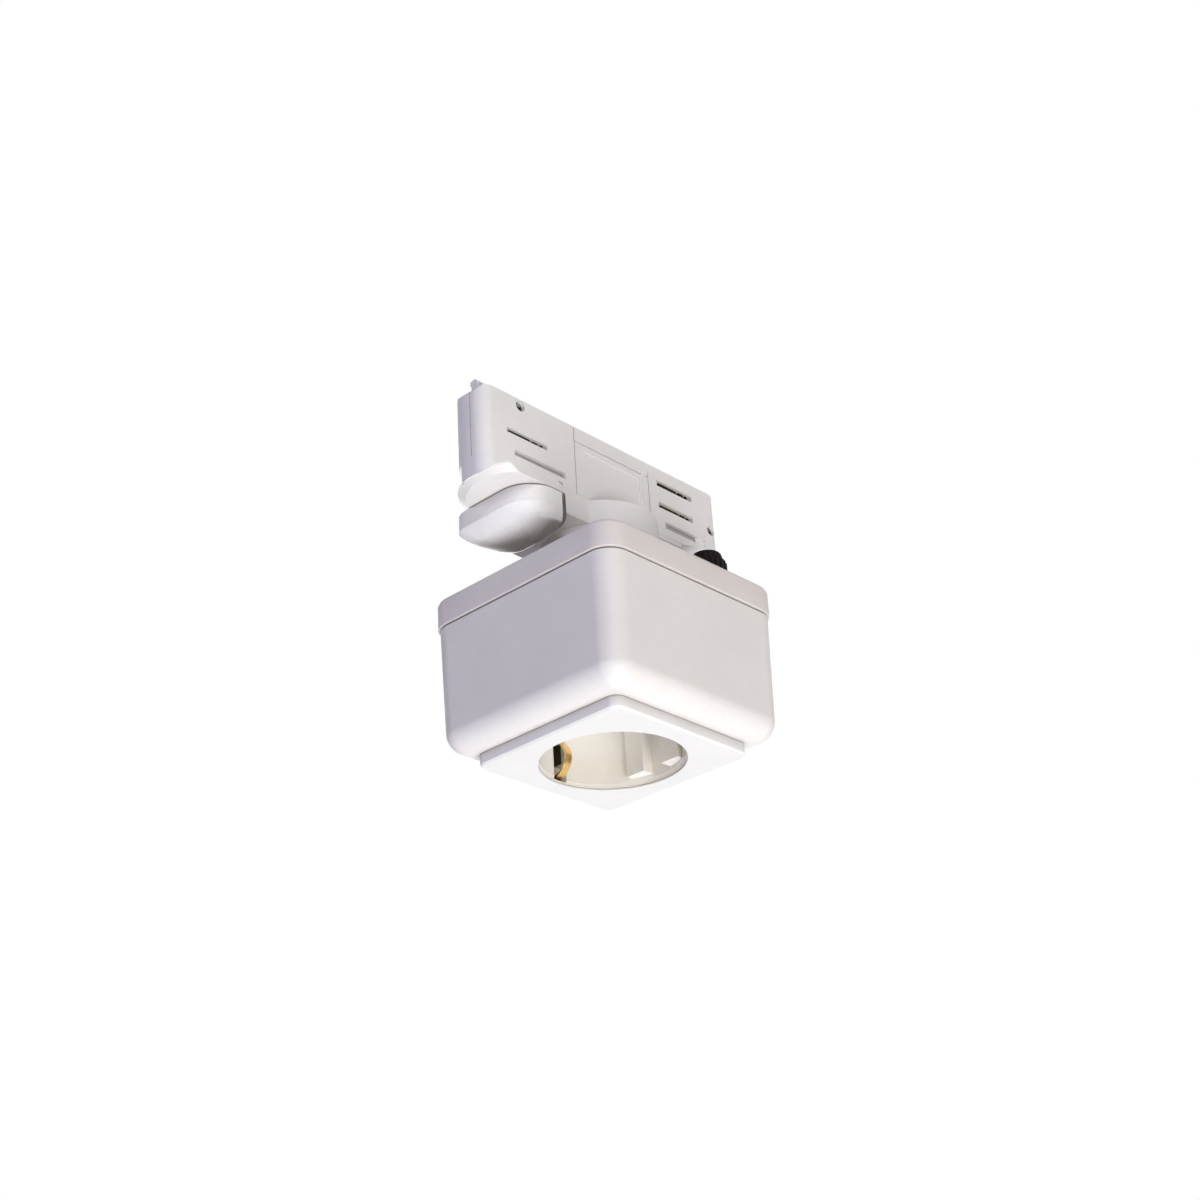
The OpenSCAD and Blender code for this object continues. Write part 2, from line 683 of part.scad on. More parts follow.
module near_shell() {
    color("whitesmoke") difference() {
        union() {
            intersection() {
                union() {
                    difference() {
                        body_form(0);
                        body_form(shell_wall);
                    }
                    end_skirt();
                }
                translate([adapter_x0 - 5, adapter_y0 - 5, adapter_z0 - 10])
                    cube([120, parting_y - adapter_y0 + 5 - 0.02, adapter_h + 20]);
            }
            // Seats of the shell screws
            intersection() {
                body_form(0.5);
                at_shell_screws() translate([0, 0, 0.02 - parting_y])
                    cylinder(r = screw_boss_r, h = 5, $fn = round_fn);
            }
            // Stop lug on the top of the left end
            translate([adapter_x0 + 0.6, parting_y - 2.8, adapter_z1 - 0.5])
                rotate([90, 0, 90]) linear_extrude(3.4)
                    polygon([[0, 0], [2.75, 0], [2.75, 2.6], [1, 2.9], [0, 1.6]]);
            // Raised strip right of the label field
            translate([8.6, adapter_y0 - groove, 76.5]) cube([1.6, groove + eps, 11.2]);
        }
        for (s = [slot_left, slot_latch_left, slot_right_upper, slot_right_lower,
                [slot_latch_right[0], latch_open_x, slot_latch_right[2], slot_latch_right[3]]]) slot_cut(s);
        translate([latch_open_x - 1, adapter_y0 - 1, slot_latch_right[2]])
            cube([slot_latch_right[1] - latch_open_x + 1, 1.8, slot_latch_right[3] - slot_latch_right[2]]);
        at_shell_screws() {
            translate([0, 0, -screw_seat_y]) cylinder(r = screw_hole_r, h = 6, $fn = round_fn);
            cylinder(r = 0.95, h = 12, $fn = round_fn);
        }
        // Label field, left bare, with its outer line
        translate([label_x0 + 3.6, adapter_y0 - eps, adapter_z0 - 1])
            cube([22.4, groove + eps, label_top - adapter_z0 - 0.6]);
        translate([label_x0, adapter_y0 - eps, adapter_z0 - 1]) cube([groove, groove + eps, adapter_h + 2]);
        translate([label_x0, adapter_y0 - eps, label_top]) cube([label_x1 - label_x0, groove + eps, groove]);
        translate([label_x1, adapter_y0 - eps, adapter_z0 - 1]) cube([groove, groove + eps, adapter_h - 2]);
        // Small latch window under the left slots
        translate([-24.8, adapter_y0 - 1, 70.3]) cube([1.7, 1.6, 0.9]);
        // Shadow line at the joint of the shells
        difference() {
            translate([adapter_x0 - 1, parting_y - 0.45, adapter_z0 - 1]) cube([100, 1, adapter_h + 1.9]);
            body_form(groove);
            end_skirt();
        }
        shell_floor_holes();
    }
}

module far_shell() {
    color("whitesmoke") difference() {
        union() {
            intersection() {
                union() {
                    difference() {
                        body_form(0);
                        body_form(shell_wall);
                    }
                    end_skirt();
                }
                translate([adapter_x0 - 5, parting_y + 0.02, adapter_z0 - 10]) cube([120, 30, adapter_h + 20]);
            }
            intersection() {
                body_form(0.5);
                translate([0, adapter_y1, 0]) at_shell_screws()
                    cylinder(r = screw_boss_r, h = adapter_y1 - parting_y - 0.02, $fn = round_fn);
            }
        }
        at_shell_screws() translate([0, 0, -adapter_y1 + 2]) cylinder(r = 0.95, h = 20, $fn = round_fn);
        // Window for the earth spring
        translate([-spring_half - 0.3, inner_y1 - 1, spring_z - spring_w / 2 - 0.4])
            cube([2 * spring_half + 0.6, 4, spring_w + 0.8]);
        shell_floor_holes();
    }
}

module shell_screws() {
    color("silver") at_shell_screws() difference() {
        union() {
            translate([0, 0, 0.02 - screw_seat_y]) cylinder(r = screw_hole_r - 0.12, h = 1.6, $fn = round_fn);
            translate([0, 0, -adapter_y1 + 2.4])
                cylinder(r = 0.9, h = adapter_y1 - screw_seat_y - 2, $fn = round_fn);
        }
        translate([0, 0, -adapter_y0 - 1]) cube([2.4, 0.6, 1], center = true);
    }
}

module adapter_base() {
    color("whitesmoke") difference() {
        union() {
            // Turning disc's seat with a bevelled edge, cut flush with the near face
            intersection() {
                translate([lever_x, lever_y, adapter_z0 - turn_disc_t])
                    cylinder(r1 = turn_disc_d / 2 - 1.4 * turn_disc_t, r2 = turn_disc_d / 2,
                        h = turn_disc_t - 0.02, $fn = round_fn);
                translate([lever_x - 30, adapter_y0, adapter_z0 - 5]) cube([60, 40, 10]);
            }
            // Plate and block under the middle of the body
            translate([base_block_x0, adapter_y0 + 0.1, base_block_z])
                cube([-base_block_x0, boss_r - 0.4 - adapter_y0, adapter_z0 - 0.02 - base_block_z]);
            translate([0, adapter_y0 + 0.1, adapter_z0 - 1.4])
                cube([cut_start_x - 1, adapter_y1 - adapter_y0 - 0.1, 1.38]);
            rod(boss_r, boss_z0, boss_top);
        }
        // Hollow boss
        rod(boss_r - boss_wall, boss_z0 - 1, base_block_z + 1.2);
        // Clearance that the lever's near end turns in
        translate([lever_x, lever_y, 0]) rod(lever_sweep_r, base_block_z - 1, adapter_z0 - turn_disc_t);
        rod(tube_d / 2 + seat_gap, boss_z0, adapter_z0 + 1);
        translate([lever_x, lever_y, 0]) rod(spindle_d / 2 + run_gap, adapter_z0 - 3, adapter_z0 + 1);
        // Groove at the foot of the far shell, beside the ledge that the track's lips meet
        translate([lever_x - 20, adapter_y1 - 0.1, adapter_z0 - 0.4]) cube([20 - lever_x + 1, 0.4, 1]);
    }
}

// Lever: upright band over a full belly that narrows to a rounded keel
module lever() {
    near_y = lever_y - lever_near;
    far_y = lever_y + lever_far;
    x0 = lever_mid_x - lever_w / 2;
    x1 = lever_mid_x + lever_w / 2;
    band_z = lever_top - lever_band;
    keel_r = 3.8;
    color("white") difference() {
        hull() {
            translate([0, 0, band_z]) linear_extrude(lever_band)
                outline4(x0, x1, near_y, far_y, [9.5, 1, 5.5, 5.5]);
            translate([0, 0, band_z - 0.42 * lever_belly]) linear_extrude(0.5)
                outline4(x0 + 0.9, x1 - 0.1, near_y + 0.2, far_y - 4.8, [9, 1.5, 5, 5]);
            // Keel points: side, distance from the near end, height above the lowest
            for (k = [[-1, 7, 0.4], [-1, 14.5, 0], [-1, 20.5, 1.7],
                    [1, 4.4, 0.9], [1, 12, 0], [1, 18.5, 0.8]])
                translate([lever_mid_x + k[0] * (lever_w / 2 - keel_r - 0.3), near_y + k[1],
                        band_z + keel_r - lever_belly + k[2]])
                    sphere(keel_r, $fn = shell_fn);
        }
        translate([lever_x, lever_y, 0]) rod(spindle_d / 2 + 0.03, lever_top - 6, lever_top + 1);
    }
}

module lever_spindle() {
    color("lightgray") translate([lever_x, lever_y, 0]) {
        rod(spindle_d / 2, lever_top - 5.8, spindle_top);
        // Collar that keeps the spindle in the shells
        rod(3.3, adapter_z0 + shell_wall + 0.1, adapter_z0 + shell_wall + 1);
        translate([-crank_arm, crank_arm, 0]) {
            rod(crank_r, spindle_top - 0.5, yoke_z1 + 0.3);
            rod(crank_r + 0.3, spindle_top - 1.2, spindle_top);
        }
    }
}

// Ridge that drops into the track's groove beside a blade slot
module latch_ridge(s) {
    translate([s[0] + slot_play, blade_tip_y + 0.3, s[2] + slot_play])
        cube([s[1] - s[0] - 2 * slot_play, web_y0 - blade_tip_y - 0.3 + eps, s[3] - s[2] - 2 * slot_play]);
}

module blade_pocket(s) {
    translate([s[0] + slot_play - 0.02, web_y0 - 1, s[2] + slot_play])
        cube([s[1] - s[0] - 2 * slot_play + 0.04, web_t + 2, s[3] - s[2] - 2 * slot_play]);
}

module contact_carriage() {
    color("lightgray") difference() {
        union() {
            // Long web behind the near wall
            translate([slot_left[0] - 0.4, web_y0, web_z0])
                cube([latch_open_x - slot_play - slot_left[0] + 0.4, web_t, web_z1 - web_z0]);
            translate([slot_right_upper[0] - 0.4, web_y0, web_z1 - eps])
                cube([slot_right_upper[1] - slot_right_upper[0] + 0.8, web_t, 1.8]);
            latch_ridge(slot_latch_left);
            latch_ridge([slot_latch_right[0], latch_open_x, slot_latch_left[2], slot_latch_right[3]]);
            // Yoke round the spindle's crank pin
            translate([lever_x - 6, web_y1 - eps, yoke_z0])
                cube([9, inner_y1 - 0.25 - web_y1, yoke_z1 - yoke_z0]);
        }
        translate([lever_x - 1.26 * crank_arm, lever_y + crank_arm, (yoke_z0 + yoke_z1) / 2])
            cube([2 * crank_r + 1.5, 2 * crank_r + 0.4, 4], center = true);
        for (s = [slot_left, slot_right_upper, slot_right_lower]) blade_pocket(s);
    }
}

// Sliding contact with a forked tip
module blade(s) {
    x0 = s[0] + slot_play;
    x1 = s[1] - slot_play;
    notch = 0.9;
    translate([0, 0, s[2] + slot_play]) linear_extrude(s[3] - s[2] - 2 * slot_play) difference() {
        polygon([[x0 + 1.5, blade_tip_y], [x1 - 0.8, blade_tip_y], [x1, blade_tip_y + 0.8],
            [x1, web_y1 + 0.8], [x0, web_y1 + 0.8], [x0, blade_tip_y + 1.5]]);
        for (f = [0.62, 0.82]) translate([x0 + (x1 - x0) * f, blade_tip_y - 1]) square([notch, 3.4]);
    }
}

module contact_left() {
    color("goldenrod") blade(slot_left);
}

module contact_right_upper() {
    color("goldenrod") blade(slot_right_upper);
}

module contact_right_lower() {
    color("goldenrod") blade(slot_right_lower);
}

spring_w = 3.6;
spring_t = 0.6;
spring_half = 5.6;
module earth_spring() {
    // Bow that stands out through the window, between two flat ears
    bow_h = adapter_y1 + 0.7 - inner_y1 + spring_t + 0.1;
    bow_r = (spring_half * spring_half + bow_h * bow_h) / (2 * bow_h);
    color("goldenrod") translate([0, inner_y1 - spring_t - 0.1, spring_z - spring_w / 2]) {
        difference() {
            translate([-spring_half - 2.4, 0, 0]) cube([2 * spring_half + 4.8, spring_t, spring_w]);
            translate([-spring_half + 0.6, -1, -1]) cube([2 * spring_half - 1.2, 3, spring_w + 2]);
        }
        intersection() {
            translate([0, bow_h - bow_r, 0]) difference() {
                cylinder(r = bow_r, h = spring_w, $fn = 96);
                translate([0, 0, -1]) cylinder(r = bow_r - spring_t, h = spring_w + 2, $fn = 96);
            }
            translate([-spring_half, 0, -1]) cube([2 * spring_half, bow_h + 1, spring_w + 2]);
        }
    }
}

// Insulated lead swept along a list of points, with eased bends
lead_r = 1.1;
lead_sides = 10;
function unit(v) = v / norm(v);
function lead_dir(p, i) = unit((i > 0 ? unit(p[i] - p[i - 1]) : [0, 0, 0])
    + (i < len(p) - 1 ? unit(p[i + 1] - p[i]) : [0, 0, 0]));
function lead_ring(c, d) = let (side = unit(cross(d, [1, 0.1, 0])), up = cross(d, side))
    [for (k = [0 : lead_sides - 1]) let (a = k * 360 / lead_sides)
        c + lead_r * (cos(a) * side + sin(a) * up)];
function eased(p) = concat([p[0]], [for (i = [1 : len(p) - 2], t = [-1, 1])
    p[i] + unit((t < 0 ? p[i - 1] : p[i + 1]) - p[i]) * lead_r * 1.3], [p[len(p) - 1]]);
module lead(points) {
    path = eased(points);
    n = len(path);
    polyhedron([for (i = [0 : n - 1]) each lead_ring(path[i], lead_dir(path, i))],
        concat([[for (k = [0 : lead_sides - 1]) k]],
            [for (i = [0 : n - 2], k = [0 : lead_sides - 1]) let (m = (k + 1) % lead_sides)
                each [[i * lead_sides + k, (i + 1) * lead_sides + k, i * lead_sides + m],
                    [i * lead_sides + m, (i + 1) * lead_sides + k, (i + 1) * lead_sides + m]]],
            [[for (k = [lead_sides - 1 : -1 : 0]) (n - 1) * lead_sides + k]]));
}

lead_top = adapter_z0 + shell_wall + 1.6;
lead_x = 1.5;
lead_y = 0.9;
entry_z = block_z1 - 3.2;

// Lead from the contact block on the side s, up into the neck tube
module side_lead(s) {
    lead([[s * pin_x, block_w / 2 - 2, entry_z], [s * pin_x, block_w / 2 + 5, entry_z],
        [s * 8, block_w / 2 + 3, entry_z + 6.1], [s * 3.4, 5, entry_z + 8.1],
        [s * lead_x, lead_y, entry_z + 9.8], [s * lead_x, lead_y, lead_top]]);
}

module lead_phase() {
    color("sienna") side_lead(1);
}

module lead_neutral() {
    color("royalblue") side_lead(-1);
}

module lead_earth() {
    clamp_y = terminal_y + 9.1;
    color("yellowgreen") lead([[0, clamp_y, bridge_z + 2.05], [0, clamp_y + 2.9, bridge_z + 2.05],
        [0, clamp_y + 2.9, bridge_z + 5.9], [0, terminal_y + 2, bridge_z + 5.9], [0, 4.4, bridge_z + 3.9],
        [0, -2 * lead_y, bridge_z + 3.9], [0, -2 * lead_y, lead_top]]);
}

housing();
screw_posts();
cover_plate();
cover_screws();
face_plate();
socket_cup();
cup_flange();
cup_floor();
centre_screw();
contact_block();
contact_sleeve_left();
contact_sleeve_right();
earth_bracket();
terminal_screws();
fuse_holder();
fuse_nut();
fuse_cap();
fuse_link();
neck_tube();
neck_nut();
neck_washer();
adapter_base();
near_shell();
far_shell();
shell_screws();
lever();
lever_spindle();
contact_carriage();
contact_left();
contact_right_upper();
contact_right_lower();
earth_spring();
lead_phase();
lead_neutral();
lead_earth();
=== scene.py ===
"""Track socket outlet: finish, smooth lever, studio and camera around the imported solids.

Lengths are in metres unless a name says otherwise, in the frame of the solids: +Z up, +X along
the track, the origin at the centre of the plug recess's mouth.
"""

import json
import math

import bmesh
import bpy
from mathutils import Matrix, Vector


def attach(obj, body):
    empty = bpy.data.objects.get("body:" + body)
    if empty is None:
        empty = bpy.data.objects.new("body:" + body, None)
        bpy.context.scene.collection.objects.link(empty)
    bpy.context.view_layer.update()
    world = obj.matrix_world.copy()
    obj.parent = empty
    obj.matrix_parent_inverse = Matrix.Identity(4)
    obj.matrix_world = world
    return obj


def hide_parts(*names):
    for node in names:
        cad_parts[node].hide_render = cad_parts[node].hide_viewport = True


MM = 0.001
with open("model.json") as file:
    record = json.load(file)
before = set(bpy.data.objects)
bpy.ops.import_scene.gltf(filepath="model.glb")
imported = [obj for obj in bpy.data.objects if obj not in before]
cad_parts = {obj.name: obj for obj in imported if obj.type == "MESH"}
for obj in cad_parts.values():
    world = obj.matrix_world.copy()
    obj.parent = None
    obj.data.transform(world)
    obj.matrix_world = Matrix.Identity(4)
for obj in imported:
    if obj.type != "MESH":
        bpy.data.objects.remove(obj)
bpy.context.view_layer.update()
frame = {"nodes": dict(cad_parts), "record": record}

# Camera, as the photograph was taken from below and in front
CAMERA_AT = Vector((-0.36298, -0.32878, -0.20531))
CAMERA_AZIMUTH = math.radians(-47.74)
CAMERA_ELEVATION = math.radians(-27.31)
CAMERA_ROLL = math.radians(-3.55)
CAMERA_LENS_MM = 61.14
CAMERA_SENSOR_MM = 36.0

# Studio
FLOOR_Z = -1.08
FLOOR_HALF = 4.0
# How bright the floor is to the camera, beyond the light that falls on it
FLOOR_GLOW = 0.78
STUDIO_AIM = Vector((0.0, 0.0, 0.045))
FILL_COLOUR = (0.90, 0.88, 0.98)
FILL_STRENGTH = 0.03
BACKGROUND_STRENGTH = 1.0
# Each lamp's name, place, size, power in watts and colour
LAMPS = (
    ("below", (0.0, 0.0, -0.95), (0.60, 0.60), 5.0, (0.94, 0.94, 1.0)),
    ("below_front", (-0.09, -0.82, -0.72), (0.77, 0.77), 8.2, (1.0, 0.98, 0.93)),
    ("left", (-1.36, 0.26, 0.0), (0.77, 1.02), 4.0, (0.68, 0.65, 1.0)),
    ("front", (-0.94, -1.02, 0.17), (0.43, 0.60), 5.6, (0.56, 0.68, 1.0)),
    ("front_high", (-0.35, -1.10, 0.80), (0.60, 0.60), 2.1, (1.0, 0.72, 0.35)),
    ("camera_side", (-0.85, -0.71, -0.37), (0.43, 0.43), 1.75, (1.0, 0.78, 0.25)),
    ("right", (0.71, -1.22, 0.09), (0.77, 1.02), 0.5, (1.0, 1.0, 1.0)),
    # For views from behind: its side is hidden from the camera
    ("back", (1.05, 1.22, 0.27), (0.85, 0.85), 9.0, (1.0, 1.0, 1.0)),
)

# Smooth lever in millimetres: its upright band, and the keel that its belly narrows to.
# Corners go near left, near right, far right, far left.
BAND_X, BAND_Y = (-36.6, -23.2), (-9.4, 20.3)
BAND_RADII = (9.5, 1.0, 5.5, 5.5)
BAND_TOP, BAND_FOOT = 68.0, 62.9
# Rounded upper edge and soft lower bead: depth under the top or height over the foot, and inset
TOP_EDGE = ((0, 0.25), (0.07, 0.07), (0.25, 0))
FOOT_BEAD = ((0.30, 0), (0.16, -0.05), (0, -0.02))
KEEL_X, KEEL_Y = (-27.3, -24.1), (-8.2, 6.0)
KEEL_RADII = (1.0, 0.6, 0.6, 1.0)
KEEL_Z = 56.3
# How far the keel rises to its near and far end, on the left and on the right
KEEL_RISE = ((2.6, 0.5), (2.6, 0.2))
# Belly's profile on each side: the angle at which it leaves the band, and how full it is
BELLY_START = {"left": 25, "near": 25, "right": 2, "far": 25}
BELLY_POWER = {"left": 1.8, "near": 2.6, "right": 8.0, "far": 1.7}
BELLY_RINGS = 22
# Rings across the keel, as shares of its outline
KEEL_SCALES = (0.84, 0.68, 0.52, 0.36, 0.2, 0.07)
# Smoothing that blends the belly into the keel: its passes, strength and the rings it reaches
BLEND_PASSES, BLEND_FACTOR, BLEND_RINGS = 24, 0.5, 13
# Pocket in the top for the spindle
SPINDLE_AT, SPINDLE_R, SPINDLE_DEPTH = (-30.5, 0.8), 2.23, 6.0

# Width of the rounding on each node's sharp edges, in millimetres
BEVEL_WIDTH = {
    "housing": 0.12,
    "cover_plate": 0.15,
    "face_plate": 0.18,
    "near_shell": 0.14,
    "far_shell": 0.14,
    "adapter_base": 0.14,
    "contact_carriage": 0.1,
    "earth_bracket": 0.12,
    "socket_cup": 0.12,
    "fuse_cap": 0.1,
}
BEVEL_DEFAULT = 0.06
BEVEL_SEGMENTS = 2
# Edges sharper than this are rounded
BEVEL_ANGLE = math.radians(32)
# Points closer than this are joined, and faces closer to one plane than this are merged
WELD_GAP_MM = 0.002
FLAT_ANGLE = math.radians(0.5)

# How far each kind of shading looks for neighbours, in millimetres
CORNER_REACH, CLEFT_REACH, HOLLOW_REACH, DUSK_REACH = 1.8, 0.7, 5.0, 26.0
METAL_REACH, BLADE_REACH = 2.2, 3.0
AO_SAMPLES, BLADE_AO_SAMPLES = 8, 32
PLASTIC_IOR = 1.48
# Waves of the bands on the neck tube and of the stripes on the earth lead
TUBE_WAVE, STRIPE_WAVE = 50.0065, 62.0

# Inside its window each sliding contact is bright above this height and black below it, as
# painted shadow, in millimetres
BLADE_SHADOW_Z = {
    "contact_left": 80.25,
    "contact_right_upper": 86.88,
    "contact_right_lower": 79.78,
}
BLADE_COLOUR, BLADE_TARNISH, BLADE_GLOSS = (0.86, 0.78, 0.62), (0.62, 0.50, 0.32), 0.38
# Black of the painted shadow on the sliding contacts
BLADE_SHADOW_BLACK = (0.008, 0.006, 0.004)
# Half of the height over which the blade goes from bright to its painted shadow's black
BLADE_FADE_MM = 0.06


def link(tree, source, target):
    tree.links.new(source, target)


def new_node(tree, kind, **inputs):
    node = tree.nodes.new(kind)
    for name, value in inputs.items():
        node.inputs[name.replace("_", " ")].default_value = value
    return node


class Surface:
    """A material with a Principled shader, and the noise that drives its colour, gloss and bump."""

    def __init__(self, name):
        self.material = bpy.data.materials.new(name)
        self.material.use_nodes = True
        self.tree = self.material.node_tree
        self.shader = self.tree.nodes["Principled BSDF"]
        self.place = self.tree.nodes.new("ShaderNodeTexCoord").outputs["Object"]
        self.normal = None

    def value(self, name, amount):
        self.shader.inputs[name].default_value = amount

    def noise(self, feature_mm, detail=3.0, rough=0.55, stretch=None):
        """Noise whose features are about feature_mm across, drawn out along an axis by stretch."""
        place = self.place
        if stretch:
            mapping = self.tree.nodes.new("ShaderNodeMapping")
            mapping.inputs["Scale"].default_value = stretch
            link(self.tree, place, mapping.inputs["Vector"])
            place = mapping.outputs["Vector"]
        noise = new_node(self.tree, "ShaderNodeTexNoise", Scale=1000.0 / feature_mm,
                         Detail=detail, Roughness=rough)
        link(self.tree, place, noise.inputs["Vector"])
        return noise.outputs["Fac"]

    def span(self, source, low, high, to_low=0.0, to_high=1.0):
        """Source from low..high mapped to to_low..to_high, held at both ends."""
        node = self.tree.nodes.new("ShaderNodeMapRange")
        limits = {"From Min": low, "From Max": high, "To Min": to_low, "To Max": to_high}
        for name, amount in limits.items():
            node.inputs[name].default_value = amount
        link(self.tree, source, node.inputs["Value"])
        return node.outputs["Result"]

    def mixed(self, factor, first, second):
        """Colour that goes from first to second with factor; each is a colour or a socket."""
        node = self.tree.nodes.new("ShaderNodeMix")
        node.data_type = "RGBA"
        link(self.tree, factor, node.inputs["Factor"])
        for socket, colour in ((node.inputs[6], first), (node.inputs[7], second)):
            if isinstance(colour, bpy.types.NodeSocket):
                link(self.tree, colour, socket)
            else:
                socket.default_value = (*colour, 1.0)
        return node.outputs[2]

    def openness(self, reach_mm, samples=AO_SAMPLES):
        """How open the surface is to its surroundings: 1 in the open, towards 0 in a gap."""
        node = new_node(self.tree, "ShaderNodeAmbientOcclusion", Distance=reach_mm * MM)
        node.samples = samples
        return node.outputs["AO"]

    def soiled_and_shaded(self, base, dirt_and_shade, reach_mm, start, full, amount):
        """Base with dirt and painted shade where openness falls below start, up to the amount where
        it is full.
        """
        return self.mixed(self.span(self.openness(reach_mm), start, full, 0.0, amount), base, dirt_and_shade)

    def waves(self, axis, **inputs):
        """Soft bands across an axis."""
        wave = new_node(self.tree, "ShaderNodeTexWave", **inputs)
        wave.bands_direction = axis
        link(self.tree, self.place, wave.inputs["Vector"])
        return wave.outputs["Fac"]

    def product(self, first, second):
        node = self.tree.nodes.new("ShaderNodeMath")
        node.operation = "MULTIPLY"
        link(self.tree, first, node.inputs[0])
        link(self.tree, second, node.inputs[1])
        return node.outputs[0]

    def bump(self, height, strength, distance_mm):
        node = new_node(self.tree, "ShaderNodeBump", Strength=strength, Distance=distance_mm * MM)
        link(self.tree, height, node.inputs["Height"])
        if self.normal:
            link(self.tree, self.normal, node.inputs["Normal"])
        self.normal = node.outputs["Normal"]

    def done(self, colour, roughness):
        link(self.tree, colour, self.shader.inputs["Base Color"])
        link(self.tree, roughness, self.shader.inputs["Roughness"])
        link(self.tree, self.normal, self.shader.inputs["Normal"])
        return self.material


def shade(colour, factor):
    return tuple(min(1.0, c * factor) for c in colour)


def moulded(name, colour, grime_and_shade, gloss, grain=0.10, specks=0.0, speck_colour=None,
            cleft=0.8, cleft_open=0.42, hollow=0.0, shine=0.5, dusk=0.0):
    """Moulded plastic: fine spark-eroded grain, soft clouding, dulled patches, dirt and painted
    shade in its corners, near-black painted shade in its narrow gaps, with a hollow amount a
    painted shade beside them, and with a dusk amount a painted shade towards its neighbours."""
    s = Surface(name)
    cloud = s.noise(14, detail=4)
    mottle = s.noise(2.2, detail=3)
    base = s.mixed(s.span(cloud, 0.35, 0.68), shade(colour, 1.015), shade(colour, 0.975))
    base = s.mixed(s.span(mottle, 0.5, 0.8, 0.0, 0.45), base, shade(colour, 0.965))
    # Dirt and painted shade in its corners
    base = s.soiled_and_shaded(base, grime_and_shade, CORNER_REACH, 0.6, 0.15, 0.35)
    # Painted shade on surfaces that have neighbours within HOLLOW_REACH
    if hollow:
        base = s.soiled_and_shaded(base, grime_and_shade, HOLLOW_REACH, 0.92, 0.55, hollow)
    # Near-black painted shade in narrow gaps, seams and slots
    base = s.soiled_and_shaded(base, shade(grime_and_shade, 0.25), CLEFT_REACH, cleft_open, 0.12, cleft)
    # Painted shade on the side that faces neighbours within DUSK_REACH
    if dusk:
        base = s.soiled_and_shaded(base, grime_and_shade, DUSK_REACH, 0.74, 0.34, dusk)
    if specks:
        spots = s.span(s.noise(1.3, detail=1.0, rough=0.4), 0.70, 0.76, 0.0, specks)
        base = s.mixed(spots, base, speck_colour)
    roughness = s.span(s.noise(9, detail=5), 0.3, 0.7, gloss - 0.05, gloss + 0.07)
    s.bump(s.noise(0.45, detail=2.0), grain, 0.05)
    s.bump(s.noise(7, detail=2.0), 0.10, 0.12)
    s.value("IOR", PLASTIC_IOR)
    s.value("Specular IOR Level", shine)
    return s.done(base, roughness)


def metal(name, colour, tarnish, gloss, stretch=(1.0, 1.0, 6.0), shadowed_below_mm=None):
    """Worn bare metal: drawn-out scratches, tarnish in patches and near-black painted shade in its
    gaps, or painted shadow, black, below a height where it lies in a gap."""
    s = Surface(name)
    stain = s.noise(3.0, detail=5, rough=0.62)
    fine = s.noise(0.35, detail=3, stretch=stretch)
    base = s.mixed(s.span(stain, 0.42, 0.72), colour, tarnish)
    if shadowed_below_mm is None:
        # Near-black painted shade in narrow gaps, such as the screw recesses
        base = s.soiled_and_shaded(base, shade(tarnish, 0.10), METAL_REACH, 0.62, 0.22, 0.9)
        s.value("Metallic", 1.0)
    else:
        # Painted shadow: black and not metallic below the given height where the blade is sunk
        height = s.tree.nodes.new("ShaderNodeSeparateXYZ")
        link(s.tree, s.place, height.inputs["Vector"])
        low = s.span(height.outputs["Z"], (shadowed_below_mm + BLADE_FADE_MM) * MM,
                     (shadowed_below_mm - BLADE_FADE_MM) * MM)
        sunk_in_shadow = s.span(s.openness(BLADE_REACH, BLADE_AO_SAMPLES), 1.0, 0.93)
        painted_shadow = s.product(low, sunk_in_shadow)
        base = s.mixed(painted_shadow, base, BLADE_SHADOW_BLACK)
        link(s.tree, s.span(painted_shadow, 0.0, 1.0, 1.0, 0.0), s.shader.inputs["Metallic"])
        s.value("Specular IOR Level", 0.1)
    roughness = s.span(fine, 0.3, 0.7, gloss - 0.08, gloss + 0.12)
    s.bump(fine, 0.18, 0.02)
    s.bump(stain, 0.12, 0.03)
    return s.done(base, roughness)


def banded_metal(name, colour, tarnish, gloss):
    """Zinc-plated metal with soft bands along Z, as a rolled thread leaves."""
    s = Surface(name)
    stain = s.noise(4.0, detail=4)
    base = s.mixed(s.span(stain, 0.4, 0.7), colour, tarnish)
    bands = s.waves("Z", Scale=TUBE_WAVE)
    roughness = s.span(s.noise(1.5), 0.3, 0.7, gloss - 0.06, gloss + 0.1)
    s.bump(bands, 0.35, 0.2)
    s.value("Metallic", 1.0)
    return s.done(base, roughness)


def sleeve(name, colour, stripe=None):
    """Soft insulating sleeve of a lead, slightly ribbed and dusty."""
    s = Surface(name)
    base = s.mixed(s.span(s.noise(3.0), 0.35, 0.7), colour, shade(colour, 0.8))
    if stripe:
        bands = s.waves("X", Scale=STRIPE_WAVE, Distortion=0.4)
        base = s.mixed(s.span(bands, 0.45, 0.55), base, stripe)
    s.bump(s.noise(0.6), 0.2, 0.04)
    return s.done(base, s.span(s.noise(2.0), 0.3, 0.7, 0.42, 0.6))


